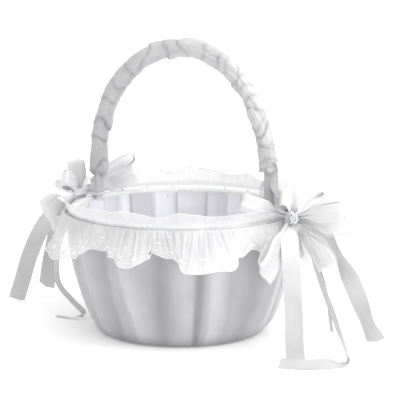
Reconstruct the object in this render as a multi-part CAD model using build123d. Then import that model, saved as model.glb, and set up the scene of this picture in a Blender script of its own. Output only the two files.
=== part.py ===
from build123d import *
from math import atan2, cos, degrees, hypot, radians, sin, sqrt
import os

# A satin-covered flower basket: a moulded bowl with a flat strip handle, padded and lined,
# skirted in satin, trimmed with gathered lace and dressed with a ribbon bow at each handle foot.
# Millimetres. +Z up, +X along the handle plane, origin at the centre of the underside.

# ---- driving dimensions -------------------------------------------------------------------
RIM_RADIUS = 97.5  # outside of the satin at the rim
RIM_HEIGHT = 105.0  # top of the bowl, before the binding
WALL_ARC = 235.0  # radius of the bowl's side in section
CORNER_ARC = 30.0  # radius where the side turns under
CORNER_ANGLE = 23.3  # slope, below horizontal, where the two arcs meet
FOOT_REACH = 90.6  # handle centre line to the basket axis, at the strip's ends
LEG_REACH = {"left": 87.0, "right": 87.6}  # the same, where the legs stand upright
HANDLE_TOP = 244.6  # handle centre line at the crown
HANDLE_SPRING = 145.0  # height where the legs end and the arch begins
LEG_BEND = 126.0  # below this the legs splay outward to their feet
HANDLE_LEAN = 2.0  # the crown sits a little to the right foot's side

# ---- layers, as insets from the outer satin -------------------------------------------------
GAP = 0.1  # air between neighbouring layers
SATIN = 1.2
SHELL_WALL = 2.0
WADDING = 4.0
LINING = 0.8
SHELL_INSET = SATIN + GAP
WADDING_INSET = SHELL_INSET + SHELL_WALL + GAP
LINING_INSET = WADDING_INSET + WADDING + GAP
INNER_INSET = LINING_INSET + LINING  # the basket's visible inside

UNDERSIDE = 1.0  # thickness of the disc that the basket stands on
COVER_FLOOR = UNDERSIDE + GAP / 2
SHELL_FLOOR = COVER_FLOOR + SATIN + GAP
BOARD_FLOOR = SHELL_FLOOR + SHELL_WALL + GAP
BOARD = 2.0
PAD_FLOOR = BOARD_FLOOR + BOARD + GAP
PAD = 5.0
FLOOR_LINING = PAD_FLOOR + PAD + GAP

# ---- handle ---------------------------------------------------------------------------------
STRIP = (2.2, 8.0)  # the strip's thickness in the arch plane, and its width
STRIP_FOOT = 80.0  # where the strip ends inside the wall
SLEEVE = (14.6, 15.0)  # gathered satin sleeve, in the arch plane and across it
SLEEVE_END = {"left": 130.0, "right": 149.0}
WRAP = (4.6, 10.4)  # satin ribbon wound on the bare leg
RIVET_SHANK = 1.2
RIVET_HEAD = (2.4, 0.6)
RIVET_HEIGHTS = (86.0, 97.0)

# ---- rim trim -------------------------------------------------------------------------------
TAPE = 0.8  # binding tape thickness
BINDING_TOP = RIM_HEIGHT + 3.2
BINDING_DROP = 9.0
RIM_WIRE = 1.1  # wire radius
LACE = 0.8
LACE_WAVES = 10
HEADING = (1.2, 6.0)  # gathered heading tape: thickness and height
HEADING_LOW = 100.0
PEARL = 1.1  # radius
PEARL_COUNT = 24

# ---- bows -----------------------------------------------------------------------------------
KNOT_X = 108.0
KNOT_Z = 107.0
RIBBON = 0.5  # thickness given to every ribbon
SATIN_WIDTH = 15.0
NARROW_WIDTH = 5.0
ORGANZA_WIDTH = 34.0
KNOT = (4.6, 5.7, 6.0)  # half sizes
TIE = (0.6, 2.0)  # the band that ties a knot to its leg: thickness and height
TIE_Z = 110.6
BROOCH_AIM = {"right": (0.76, -0.62, 0.16), "left": (-0.99, -0.02, 0.08)}
BROOCH_RADIUS = 4.3
BROOCH_PLATE = 0.8
STONE = 1.25  # radius of a stone
TAIL_END = 0.8  # how far above the surface a tail's end hangs
LEGS = {"left": -1, "right": 1}

NODES = {}


def save(name, shape):
    """Keeps one sub-part under its node name."""
    NODES[name] = shape
    return shape


# ---- bowl layers ----------------------------------------------------------------------------
def arc_point(inset, angle, arc):
    """A point of the side's section at an angle below horizontal, on the given arc."""
    slope = radians(CORNER_ANGLE)
    centre_x, centre_z = RIM_RADIUS - WALL_ARC, RIM_HEIGHT
    if arc == CORNER_ARC:
        centre_x += (WALL_ARC - CORNER_ARC) * cos(slope)
        centre_z -= (WALL_ARC - CORNER_ARC) * sin(slope)
    radius = arc - inset
    return centre_x + radius * cos(angle), centre_z - radius * sin(angle)


def angle_at(inset, z, arc):
    """The angle below horizontal where the side reaches height z."""
    centre_z = RIM_HEIGHT
    if arc == CORNER_ARC:
        centre_z -= (WALL_ARC - CORNER_ARC) * sin(radians(CORNER_ANGLE))
    ratio = (centre_z - z) / (arc - inset)
    return atan2(ratio, sqrt(max(0.0, 1 - ratio * ratio)))


def bowl(inset, low, high):
    """The solid bowl inside an inset surface, between two heights."""
    meet = radians(CORNER_ANGLE)
    edges = []
    top_angle = angle_at(inset, high, WALL_ARC)
    meet_z = arc_point(inset, meet, WALL_ARC)[1]
    if high > meet_z:
        start, end = arc_point(inset, top_angle, WALL_ARC), arc_point(inset, meet, WALL_ARC)
        middle = arc_point(inset, (top_angle + meet) / 2, WALL_ARC)
        edges.append(ThreePointArc(start, middle, end))
    else:
        meet = angle_at(inset, high, CORNER_ARC)
        start = arc_point(inset, meet, CORNER_ARC)
        end = start
    low_angle = angle_at(inset, low, CORNER_ARC)
    foot = arc_point(inset, low_angle, CORNER_ARC)
    middle = arc_point(inset, (meet + low_angle) / 2, CORNER_ARC)
    edges.append(ThreePointArc(end, middle, foot))
    edges += [Line(foot, (0, low)), Line((0, low), (0, high)), Line((0, high), start)]
    section = Plane.XZ * make_face(edges)
    return revolve(section, Axis.Z)


def layer(inset, thickness, low, floor, high):
    """A bowl-shaped layer with a floor."""
    return bowl(inset, low, high) - bowl(inset + thickness, low + floor, high + 1)


def bowl_parts():
    shell = layer(SHELL_INSET, SHELL_WALL, SHELL_FLOOR, SHELL_WALL, RIM_HEIGHT)
    cover = layer(0, SATIN, COVER_FLOOR, SATIN, RIM_HEIGHT)
    cover -= Cylinder(46, 8)
    underside = Pos(0, 0, UNDERSIDE / 2) * Cylinder(58, UNDERSIDE)
    underside = fillet(underside.edges().group_by(Axis.Z)[0], 0.3)
    board = bowl(WADDING_INSET + 0.3, BOARD_FLOOR, BOARD_FLOOR + BOARD)
    pad = bowl(LINING_INSET + 0.4, PAD_FLOOR, PAD_FLOOR + PAD)
    floor_lining = bowl(INNER_INSET + 0.3, FLOOR_LINING, FLOOR_LINING + LINING)
    wadding = bowl(WADDING_INSET, PAD_FLOOR, RIM_HEIGHT - 0.5)
    wadding -= bowl(WADDING_INSET + WADDING, PAD_FLOOR - 1, RIM_HEIGHT)
    lining = bowl(LINING_INSET, FLOOR_LINING, RIM_HEIGHT)
    lining -= bowl(INNER_INSET, FLOOR_LINING - 1, RIM_HEIGHT + 1)
    for side in LEGS.values():
        wadding -= Pos(side * FOOT_REACH, 0, STRIP_FOOT + 19) * Box(7.5, STRIP[1] + 2, 42)
        lining -= Pos(side * 88.0, 0, 94) * Box(9, STRIP[1] + 2, 30)
    save("underside_disc", underside)
    save("floor_board", board)
    save("floor_pad", pad)
    save("floor_lining", floor_lining)
    save("wall_wadding", wadding)
    save("wall_lining", lining)
    return shell, cover


# ---- handle ---------------------------------------------------------------------------------
def leg_x(name, z):
    """The handle's centre line on one side, as a distance from the axis, below the arch."""
    splay = max(0.0, LEG_BEND - z) / (LEG_BEND - STRIP_FOOT)
    return LEG_REACH[name] + (FOOT_REACH - LEG_REACH[name]) * splay


def leg_line(name, low, offset):
    """A leg from the arch's spring down to a height: upright, then splayed."""
    side = LEGS[name]
    stops = [HANDLE_SPRING] + ([LEG_BEND] if low < LEG_BEND else []) + [low]
    points = [(side * (leg_x(name, z) + offset), z) for z in stops]
    return [Line(one, two) for one, two in zip(points, points[1:])]


def handle_path(left_low, right_low, offset=0.0):
    """The handle's line in the arch plane: two legs and two quarter ellipses."""
    rise = HANDLE_TOP - HANDLE_SPRING + offset
    middle = (HANDLE_LEAN, HANDLE_SPRING)
    half = {name: LEG_REACH[name] - LEGS[name] * HANDLE_LEAN + offset for name in LEGS}
    arch = [
        EllipticalCenterArc(middle, half["left"], rise, 90, arc_size=90),
        EllipticalCenterArc(middle, half["right"], rise, 0, arc_size=90),
    ]
    return leg_line("left", left_low, offset) + arch + leg_line("right", right_low, offset)


def strip(thickness, width, left_low, right_low):
    """A flat strip bent along the handle's line."""
    outer = handle_path(left_low, right_low, thickness / 2)
    inner = handle_path(left_low, right_low, -thickness / 2)
    ends = []
    for name, low in (("left", left_low), ("right", right_low)):
        x = leg_x(name, low)
        near, far = LEGS[name] * (x - thickness / 2), LEGS[name] * (x + thickness / 2)
        ends.append(Line((near, low), (far, low)))
    face = make_face(outer + inner + ends)
    return extrude(Plane.XZ * face, width / 2, both=True)


def rivet(name, height):
    """A shank along X with a head inside the strip and one outside the shell."""
    strip_face = leg_x(name, height) - STRIP[0] / 2
    shell_face = arc_point(SHELL_INSET, angle_at(SHELL_INSET, height, WALL_ARC), WALL_ARC)[0]
    length = shell_face - strip_face
    turn = Rot(0, 90, 0)
    shank = Pos(strip_face + length / 2, 0, height) * turn * Cylinder(RIVET_SHANK, length)
    radius, thick = RIVET_HEAD
    inner = Pos(strip_face - thick / 2 - 0.3, 0, height) * turn * Cylinder(radius, thick + 0.6)
    outer = Pos(shell_face + thick / 2 - 0.05, 0, height) * turn * Cylinder(radius, thick)
    whole = shank + inner + outer
    return whole if name == "right" else Rot(0, 0, 180) * whole


def stem_wrap(name):
    """Ribbon wound on the bare leg, between the rim and the sleeve."""
    side, low, high = LEGS[name], BINDING_TOP + 0.6, SLEEVE_END[name] - 0.3
    stops = [low, LEG_BEND, high]
    outline = [(side * (leg_x(name, z) + WRAP[0] / 2), z) for z in stops]
    outline += [(side * (leg_x(name, z) - WRAP[0] / 2), z) for z in reversed(stops)]
    band = extrude(Plane.XZ * make_face(Polyline(*outline, close=True)), WRAP[1] / 2, both=True)
    rising = band.edges().filter_by(lambda edge: abs(edge.tangent_at(0.5).Z) > 0.9)
    return fillet(rising, 1.5)


def handle_parts(shell, cover):
    core = strip(*STRIP, STRIP_FOOT, STRIP_FOOT)
    for name in LEGS:
        rivets = Compound(children=[rivet(name, height) for height in RIVET_HEIGHTS])
        for one in rivets.solids():
            core -= one
            shell -= one
            cover -= one
            NODES["wall_wadding"] -= one
            NODES["wall_lining"] -= one
        save(f"handle_rivets_{name}", rivets)
    save("basket_shell", shell)
    save("outer_cover", cover)
    save("handle_core", core)

    room = strip(STRIP[0] + 0.3, STRIP[1] + 0.3, STRIP_FOOT, STRIP_FOOT)
    line = Plane.XZ * Wire(handle_path(SLEEVE_END["left"], SLEEVE_END["right"]))
    start = Plane(origin=(-LEG_REACH["left"], 0, SLEEVE_END["left"]), z_dir=(0, 0, -1))
    section = start * Ellipse(SLEEVE[0] / 2, SLEEVE[1] / 2)
    save("handle_sleeve", sweep(section, path=line) - room)
    for name in LEGS:
        save(f"stem_wrap_{name}", stem_wrap(name) - room)


# ---- rim trim -------------------------------------------------------------------------------
def ring(inner, outer, low, high):
    """A plain flat ring about the basket axis."""
    height = high - low
    return Pos(0, 0, (low + high) / 2) * (Cylinder(outer, height) - Cylinder(inner, height + 1))


def frill(levels, waves):
    """A thin wavy skirt through (height, radius, wave height) levels."""

    def wall(offset):
        outlines = []
        for z, radius, swing in levels:
            steps = 6 * waves
            points = []
            for step in range(steps):
                turn = radians(360 * step / steps)
                reach = radius + offset + swing * cos(waves * turn)
                points.append((reach * cos(turn), reach * sin(turn), z))
            outlines.append(Face(Wire(Spline(points, periodic=True))))
        return loft(outlines)

    return wall(LACE / 2) - wall(-LACE / 2)


def rim_parts():
    wire_path = Pos(0, 0, RIM_HEIGHT + RIM_WIRE + 0.05)
    wire_radius = RIM_RADIUS - SHELL_INSET - SHELL_WALL / 2
    save("rim_wire", wire_path * Torus(wire_radius, RIM_WIRE))

    outside, inside = RIM_RADIUS + GAP, RIM_RADIUS - INNER_INSET - 4 * GAP
    low = RIM_HEIGHT - BINDING_DROP
    binding = ring(inside - TAPE, outside + TAPE, low, BINDING_TOP)
    binding = fillet(binding.edges().group_by(Axis.Z)[-1], 1.0)
    binding -= ring(inside, outside, low - 1, BINDING_TOP - TAPE)
    for name, side in LEGS.items():
        slot = Box(8.5, WRAP[1] + 0.4, 30)
        binding -= Pos(side * (leg_x(name, RIM_HEIGHT) - 0.8), 0, RIM_HEIGHT) * slot
    save("rim_binding", binding)

    tape_face = outside + TAPE + GAP
    heading_top = HEADING_LOW + HEADING[1]
    save("lace_heading_tape", ring(tape_face, tape_face + HEADING[0], HEADING_LOW, heading_top))

    falling = [(99.6, 100.8, 0.6), (86.0, 106.5, 3.2), (66.5, 112.0, 7.0)]
    save("lace_falling_frill", frill(falling, LACE_WAVES))
    standing = [(106.4, 100.3, 0.4), (112.0, 103.2, 1.8), (118.0, 107.0, 3.4)]
    upper = frill(standing, LACE_WAVES)
    for side in LEGS.values():
        upper -= Pos(side * 100, 0, 112) * Box(60, 70, 30)
    save("lace_standing_frill", upper)

    pearls = []
    for index in range(PEARL_COUNT):
        turn = 360 * (index + 0.5) / PEARL_COUNT
        if abs(sin(radians(turn))) > 0.2:
            place = Pos((inside + outside) / 2, 0, BINDING_TOP + PEARL)
            pearls.append(Rot(0, 0, turn) * place * Sphere(PEARL))
    save("rim_pearls", Compound(children=pearls))


# ---- ribbon ---------------------------------------------------------------------------------
def wedge(length, width):
    """The plan outline of a ribbon that is pinched at its root."""
    pinch = min(4.0, width)
    full = 0.45 * length
    outline = [(-1, -pinch / 2), (full, -width / 2), (3 * length, -width / 2)]
    outline += [(x, -y) for x, y in reversed(outline)]
    return extrude(make_face(Polyline(*outline, close=True)), 400, both=True)


def ribbon_loop(length, width, puff):
    """A band bent back on itself, pinched at the root, along local X with its width along Y."""

    def leaf(start, root, reach, half):
        bend = length - puff / 2
        upper, lower = (bend, half), (bend, -half)
        return make_face(
            [
                Line((start, root), upper),
                ThreePointArc(upper, (reach, 0), lower),
                Line(lower, (start, -root)),
                Line((start, -root), (start, root)),
            ]
        )

    band = leaf(0, 1.2, length, puff / 2)
    band -= leaf(3.0, 0.4, length - RIBBON, puff / 2 - RIBBON)
    solid = extrude(Plane.XZ * band, width / 2, both=True)
    return solid & wedge(length, width)


def ribbon_tail(run, drop, width, bow_out):
    """A band that leaves the knot outward and falls to the end point, along local X."""
    start, end = (0, 0), (run, -drop)
    length = hypot(run, drop)
    middle = (run / 2 + bow_out * drop / length, -drop / 2 + bow_out * run / length)
    band = trace(ThreePointArc(start, middle, end), RIBBON)
    solid = extrude(Plane.XZ * band, width / 2, both=True)
    return solid & wedge(min(30.0, run), width)


def knot_reach(aim):
    """How far the knot's surface is from its centre along a direction."""
    return 1 / sqrt(sum((part / half) ** 2 for part, half in zip(aim, KNOT)))


def bow_place(side, direction, up, shift=(0, 0, 0)):
    """The frame of a loop that leaves the knot along a direction, with its puff towards up."""
    aim = Vector(*direction).normalized()
    hint = Vector(*up)
    normal = (hint - aim * hint.dot(aim)).normalized()
    knot = Vector(LEGS[side] * KNOT_X, 0, KNOT_Z) + Vector(*shift)
    root = knot_reach((aim.X, aim.Y, aim.Z)) + 0.3
    return Plane(origin=knot + aim * root, x_dir=aim, z_dir=normal)


# Each loop: name, direction, puff direction, shift of its root, length, width, puff.
LOOPS = {
    "right": [
        ("organza_loop_1", (0.08, 0.34, 0.94), (1, -0.3, 0), (1, 2, 1), 47, ORGANZA_WIDTH, 12),
        ("organza_loop_2", (0.66, 0.70, 0.26), (0.8, -0.7, 0), (2, 3, -1), 46, ORGANZA_WIDTH, 12),
        ("organza_loop_3", (0.52, 0.26, -0.80), (-0.3, 0.9, 0), (3, 4, -5), 38, 18.0, 6),
        ("organza_loop_4", (0.02, -0.81, -0.59), (1, 0, 0), (1, -4, -2), 56, 22.0, 6),
        ("organza_loop_5", (-0.80, 0.46, 0.42), (0.5, 0.8, 0), (-1, 5.6, 2.4), 52, 28.0, 10),
        ("satin_loop_inner", (-0.46, -0.82, 0.34), (0.9, -0.5, 0), (-1, -2.7, 2.8), 42, SATIN_WIDTH, 11),
        ("satin_loop_outer", (0.95, 0.10, 0.20), (0.1, -1, 0), (3, 1, 1), 42, SATIN_WIDTH, 11),
        ("satin_loop_short", (0.20, -0.72, 0.64), (0.8, 0.3, 0), (0, -2, 3), 26, SATIN_WIDTH, 8),
        ("narrow_loop", (0.12, 0.90, 0.34), (-1, 0, 0.3), (2, 5, 0), 36, NARROW_WIDTH, 8),
    ],
    "left": [
        ("organza_loop_1", (-0.04, -0.24, 0.94), (1, 0, 0), (0, 0, 1), 36, 26.0, 10),
        ("organza_loop_2", (0.36, 0.80, 0.56), (0.8, -0.6, 0), (0, 5, 10), 50, 24.0, 9),
        ("organza_loop_3", (-0.68, -0.72, 0.02), (0.7, -0.7, 0), (-1, -3, 0), 46, ORGANZA_WIDTH, 12),
        ("organza_loop_4", (-0.50, 0.82, 0.05), (-1, -0.3, 0), (-2, 3, -1), 42, 28.0, 10),
        ("satin_loop_inner", (0.30, -0.84, 0.50), (0.9, 0.5, 0), (2, -5, 3), 40, SATIN_WIDTH, 10),
        ("satin_loop_outer", (-0.62, 0.20, 0.76), (0.1, 1, 0), (-1, 1, 2), 38, SATIN_WIDTH, 11),
        ("satin_loop_short", (-0.12, -0.76, -0.62), (-1, 0, 0), (-1, -4, -3), 24, SATIN_WIDTH, 8),
        ("narrow_loop", (0.55, 0.56, 0.42), (0, 0, 1), (2, 5, 10), 46, NARROW_WIDTH, 11),
    ],
}

# Each tail: name, where its end hangs (x, y), width, how far it bows outward.
TAILS = {
    "right": [
        ("satin_tail_3", (166, 48), SATIN_WIDTH, 20),
        ("satin_tail_2", (172, -22), SATIN_WIDTH, 10),
        ("satin_tail_1", (142, -43), SATIN_WIDTH, 10),
        ("narrow_tail", (122, 50), NARROW_WIDTH, 8),
    ],
    "left": [
        ("satin_tail_1", (-184, 0), SATIN_WIDTH, 16),
        ("satin_tail_2", (-172, 42), SATIN_WIDTH, 12),
        ("satin_tail_3", (-138, 64), SATIN_WIDTH, 10),
        ("narrow_tail", (-126, -26), NARROW_WIDTH, 6),
    ],
}
TAIL_ROOT = (-4.0, -1.3)  # height of the first tail's root from the knot, and the step after it

# One tail turns on the surface and lies flat; its stretch there, from where it lands.
LYING_TAIL = ("right", "satin_tail_2")
LYING_RUN = (-27.0, -19.0)


def brooch(side):
    """A round plate facing outward from the knot, with seven stones in a flower."""
    aim = Vector(*BROOCH_AIM[side]).normalized()
    knot = Vector(LEGS[side] * KNOT_X, 0, KNOT_Z)
    reach = knot_reach((aim.X, aim.Y, aim.Z)) + 1.2
    place = Plane(origin=knot + aim * reach, z_dir=aim)
    plate = Pos(0, 0, BROOCH_PLATE / 2) * Cylinder(BROOCH_RADIUS, BROOCH_PLATE)
    top = BROOCH_PLATE + STONE
    spots = [(0, 0)]
    for step in range(6):
        turn = radians(60 * step)
        spots.append((2.75 * cos(turn), 2.75 * sin(turn)))
    stones = [Pos(x, y, top) * Sphere(STONE) for x, y in spots]
    return place * plate, place * Compound(children=stones)


def tie(side):
    """The flat band that goes round a leg and holds the knot against it."""
    near = leg_x(side, TIE_Z) - WRAP[0] / 2 - 0.9
    waist = sqrt(1 - ((TIE_Z - KNOT_Z) / KNOT[2]) ** 2)
    far = KNOT_X - KNOT[0] * waist - 0.6
    wide = WRAP[1] + 1.0
    middle = (near - TIE[0] + far) / 2
    band = Box(far - near + TIE[0], wide + 2 * TIE[0], TIE[1])
    band -= Pos(0.0, 0, 0) * Box(far - near - TIE[0], wide, TIE[1] + 1)
    return Pos(LEGS[side] * middle, 0, TIE_Z) * band


def bow_parts():
    for side, sign in LEGS.items():
        name = f"{side}_bow_"
        knot = Vector(sign * KNOT_X, 0, KNOT_Z)
        for label, aim, up, shift, length, width, puff in LOOPS[side]:
            place = bow_place(side, aim, up, shift)
            save(name + label, place * ribbon_loop(length, width, puff))
        for place, (label, (x, y), width, bow_out) in enumerate(TAILS[side]):
            heading = Vector(x - knot.X, y, 0)
            aim = heading.normalized()
            height = TAIL_ROOT[0] + place * TAIL_ROOT[1]
            waist = sqrt(max(0.0, 1 - (height / KNOT[2]) ** 2))
            root = waist * knot_reach((aim.X, aim.Y, aim.Z)) + 0.7
            start = knot + aim * root + Vector(0, 0, height)
            plane = Plane(origin=start, x_dir=aim, z_dir=(0, 0, 1))
            lying = (side, label) == LYING_TAIL
            drop = start.Z - (RIBBON if lying else TAIL_END)
            tail = plane * ribbon_tail(heading.length - root, drop, width, bow_out)
            if lying:
                run = Vector(*LYING_RUN, 0)
                flat = Plane(origin=(x, y, RIBBON), x_dir=run.normalized(), z_dir=(0, 0, 1))
                sheet = Pos(run.length / 2 - 2, 0, 0) * Box(run.length + 4, width, RIBBON)
                tail += flat * sheet
            save(name + label, tail)
        save(name + "knot", Pos(*knot) * scale(Sphere(1.0), KNOT))
        save(name + "tie", tie(side))
        plate, stones = brooch(side)
        save(name + "brooch_plate", plate)
        save(name + "rhinestones", stones)


shell_solid, cover_solid = bowl_parts()
handle_parts(shell_solid, cover_solid)
rim_parts()
bow_parts()

os.makedirs("parts", exist_ok=True)
for node, shape in NODES.items():
    export_step(shape, f"parts/{node}.step")
    print(node, len(shape.solids()), round(sum(s.volume for s in shape.solids())))
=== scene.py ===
import bpy
import random
from math import asin, cos, degrees, exp, log, pi, radians, sin, tau
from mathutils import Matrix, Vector, noise


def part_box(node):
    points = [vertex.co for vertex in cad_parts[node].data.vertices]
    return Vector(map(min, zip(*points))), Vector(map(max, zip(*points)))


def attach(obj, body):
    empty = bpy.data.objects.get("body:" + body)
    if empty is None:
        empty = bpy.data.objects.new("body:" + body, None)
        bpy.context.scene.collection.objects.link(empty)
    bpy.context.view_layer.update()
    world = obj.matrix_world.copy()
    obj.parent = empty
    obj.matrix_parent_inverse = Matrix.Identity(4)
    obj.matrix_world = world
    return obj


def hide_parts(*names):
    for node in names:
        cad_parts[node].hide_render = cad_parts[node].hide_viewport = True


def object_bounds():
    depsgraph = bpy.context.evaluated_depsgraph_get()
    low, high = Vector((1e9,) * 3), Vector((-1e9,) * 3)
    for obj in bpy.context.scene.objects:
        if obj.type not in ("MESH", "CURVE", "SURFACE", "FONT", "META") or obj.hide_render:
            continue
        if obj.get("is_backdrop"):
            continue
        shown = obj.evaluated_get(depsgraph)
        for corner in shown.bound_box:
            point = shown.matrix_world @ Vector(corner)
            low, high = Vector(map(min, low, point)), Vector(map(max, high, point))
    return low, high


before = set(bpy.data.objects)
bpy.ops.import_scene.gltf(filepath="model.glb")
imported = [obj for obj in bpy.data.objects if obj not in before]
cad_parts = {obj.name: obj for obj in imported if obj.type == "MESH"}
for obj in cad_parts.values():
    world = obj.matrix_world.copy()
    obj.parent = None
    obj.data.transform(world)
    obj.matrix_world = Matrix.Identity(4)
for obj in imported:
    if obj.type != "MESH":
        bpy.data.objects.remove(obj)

mm = 0.001
cad_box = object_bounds()
rng = random.Random(7)

# ---- places and sizes, from the frame -----------------------------------------------------------
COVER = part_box("outer_cover")
RIM_R = COVER[1][0]
RIM_Z = COVER[1][2]
FLOOR_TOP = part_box("floor_lining")[1][2]
LINING_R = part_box("wall_lining")[1][0] - 0.8 * mm
BINDING_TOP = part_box("rim_binding")[1][2]
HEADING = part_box("lace_heading_tape")
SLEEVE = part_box("handle_sleeve")
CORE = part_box("handle_core")
STRIP = 2.2 * mm
SLEEVE_HALF = 7.3 * mm  # the sleeve's half thickness in the arch plane
LEG = {"left": -SLEEVE[0][0] - SLEEVE_HALF, "right": SLEEVE[1][0] - SLEEVE_HALF}
FOOT = CORE[1][0] - STRIP / 2  # handle centre line to the axis, at the strip's ends
FOOT_Z = CORE[0][2]
CROWN = SLEEVE[1][2] - SLEEVE_HALF
BEND = RIM_Z + 21 * mm  # below this the legs splay outward to their feet
SPRING = RIM_Z + 40 * mm  # where the legs end and the arch begins
LEAN = 2 * mm  # the crown sits to the right foot's side
SLEEVE_END = {"left": SLEEVE[0][2], "right": SLEEVE[0][2] + 19 * mm}
SIDES = {"left": -1, "right": 1}


def middle(node):
    low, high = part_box(node)
    return (Vector(low) + Vector(high)) / 2


def leg_x(side, z):
    """The handle's centre line on one side, as a distance from the axis, below the arch."""
    return LEG[side] + (FOOT - LEG[side]) * max(0.0, BEND - z) / (BEND - FOOT_Z)


KNOT = {side: middle(f"{side}_bow_knot") for side in SIDES}


# ---- materials ----------------------------------------------------------------------------------
THREAD_HEIGHT = 0.25 * mm
WEAVE = (2600, 380)  # satin: threads per metre across and along
RIBBON_WEAVE = (2600, 500)
SHEER_WEAVE = (1500, 1500)
STITCHES = (900, 3000)


def new_material(name):
    made = bpy.data.materials.new(name)
    made.use_nodes = True
    tree = made.node_tree
    return made, tree.nodes, tree.links, tree.nodes["Principled BSDF"]


def fabric(name, low, high, roughness, sheen, thread, alpha=1.0, folds=0.0):
    """Woven cloth: two shades that drift, thread-scale bump and uneven gloss.

    thread is in threads per metre, across and along. folds is how far the painted shade written as "fold"
    darkens the colour.
    """
    made, nodes, links, shader = new_material(name)
    coords = nodes.new("ShaderNodeTexCoord")
    drift = nodes.new("ShaderNodeTexNoise")
    drift.inputs["Scale"].default_value = 38
    drift.inputs["Detail"].default_value = 3
    links.new(coords.outputs["Object"], drift.inputs["Vector"])
    shade = nodes.new("ShaderNodeValToRGB")
    for stop, position, color in zip(shade.color_ramp.elements, (0.35, 0.68), (low, high)):
        stop.position = position
        stop.color = (*color, 1)
    links.new(drift.outputs["Fac"], shade.inputs["Fac"])
    tone = nodes.new("ShaderNodeMix")
    tone.data_type, tone.blend_type = "RGBA", "MULTIPLY"
    tone.inputs["Factor"].default_value = folds
    # painted shade: each piece's grid writes it as the "fold" attribute, multiplied into the base colour by
    # folds
    depth = nodes.new("ShaderNodeAttribute")
    depth.attribute_name = "fold"
    links.new(shade.outputs["Color"], tone.inputs[6])
    links.new(depth.outputs["Color"], tone.inputs[7])
    links.new(tone.outputs[2], shader.inputs["Base Color"])
    scale = nodes.new("ShaderNodeMapping")
    scale.inputs["Scale"].default_value = (*thread, 1)
    links.new(coords.outputs["UV"], scale.inputs["Vector"])
    weave = nodes.new("ShaderNodeTexNoise")
    weave.inputs["Scale"].default_value = 1
    weave.inputs["Detail"].default_value = 2
    links.new(scale.outputs["Vector"], weave.inputs["Vector"])
    gloss = nodes.new("ShaderNodeMapRange")
    gloss.inputs["To Min"].default_value = roughness - 0.07
    gloss.inputs["To Max"].default_value = roughness + 0.08
    links.new(weave.outputs["Fac"], gloss.inputs["Value"])
    links.new(gloss.outputs["Result"], shader.inputs["Roughness"])
    bump = nodes.new("ShaderNodeBump")
    bump.inputs["Strength"].default_value = 0.22
    bump.inputs["Distance"].default_value = THREAD_HEIGHT
    links.new(weave.outputs["Fac"], bump.inputs["Height"])
    links.new(bump.outputs["Normal"], shader.inputs["Normal"])
    shader.inputs["Sheen Weight"].default_value = sheen
    shader.inputs["Sheen Roughness"].default_value = 0.45
    shader.inputs["Specular IOR Level"].default_value = 0.5
    shader.inputs["Alpha"].default_value = alpha
    return made


# Painted light and shade: the satins and satin ribbons below are one white cloth; their base colours differ
# piece by piece for how much light each piece gets.
SATIN = fabric("satin", (0.52, 0.52, 0.54), (0.58, 0.58, 0.59), 0.33, 0.08, WEAVE)
COVER_SATIN = fabric("cover_satin", (0.48, 0.48, 0.50), (0.55, 0.55, 0.56), 0.33, 0.08, WEAVE, folds=1.0)
SLEEVE_SATIN = fabric("sleeve_satin", (0.54, 0.54, 0.55), (0.61, 0.61, 0.61), 0.32, 0.10, WEAVE, folds=1.0)
LINING = fabric("lining_satin", (0.70, 0.70, 0.73), (0.76, 0.76, 0.79), 0.38, 0.12, WEAVE)
WALL_LINING = fabric(
    "wall_lining_satin", (0.86, 0.86, 0.90), (0.92, 0.92, 0.95), 0.38, 0.12, WEAVE, folds=1.0
)
TAIL_RIBBON = fabric(
    "tail_ribbon", (0.72, 0.72, 0.73), (0.80, 0.80, 0.80), 0.30, 0.12, RIBBON_WEAVE, folds=1.0
)
RIBBON = fabric("satin_ribbon", (0.68, 0.68, 0.69), (0.76, 0.76, 0.76), 0.30, 0.12, RIBBON_WEAVE)
ORGANZA = fabric("organza", (0.75, 0.75, 0.76), (0.83, 0.83, 0.83), 0.45, 0.10, SHEER_WEAVE, alpha=0.70)
LACE = fabric("lace_ground", (0.75, 0.75, 0.76), (0.83, 0.83, 0.83), 0.50, 0.15, SHEER_WEAVE, alpha=0.74)
THREAD = fabric("embroidery_thread", (0.80, 0.80, 0.81), (0.90, 0.90, 0.90), 0.45, 0.25, STITCHES)


def plain(name, color, roughness, metallic=0.0, coat=0.0, grain=220):
    """A hard surface with fine uneven gloss."""
    made, nodes, links, shader = new_material(name)
    coords = nodes.new("ShaderNodeTexCoord")
    spots = nodes.new("ShaderNodeTexNoise")
    spots.inputs["Scale"].default_value = grain
    links.new(coords.outputs["Object"], spots.inputs["Vector"])
    gloss = nodes.new("ShaderNodeMapRange")
    gloss.inputs["To Min"].default_value = max(0.02, roughness - 0.06)
    gloss.inputs["To Max"].default_value = roughness + 0.08
    links.new(spots.outputs["Fac"], gloss.inputs["Value"])
    links.new(gloss.outputs["Result"], shader.inputs["Roughness"])
    shade = nodes.new("ShaderNodeValToRGB")
    shade.color_ramp.elements[0].color = (*[c * 0.9 for c in color], 1)
    shade.color_ramp.elements[1].color = (*color, 1)
    links.new(spots.outputs["Fac"], shade.inputs["Fac"])
    links.new(shade.outputs["Color"], shader.inputs["Base Color"])
    shader.inputs["Metallic"].default_value = metallic
    shader.inputs["Coat Weight"].default_value = coat
    return made


PEARL = plain("pearl", (0.86, 0.84, 0.82), 0.18, coat=0.8)
SILVER = plain("silver_setting", (0.72, 0.72, 0.74), 0.22, metallic=1.0)
CRYSTAL = plain("crystal", (0.84, 0.87, 0.92), 0.06, metallic=0.35, coat=1.0)
CARD = plain("card", (0.50, 0.45, 0.37), 0.8)
MOULDED = plain("moulded_plastic", (0.80, 0.80, 0.79), 0.45)


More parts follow.
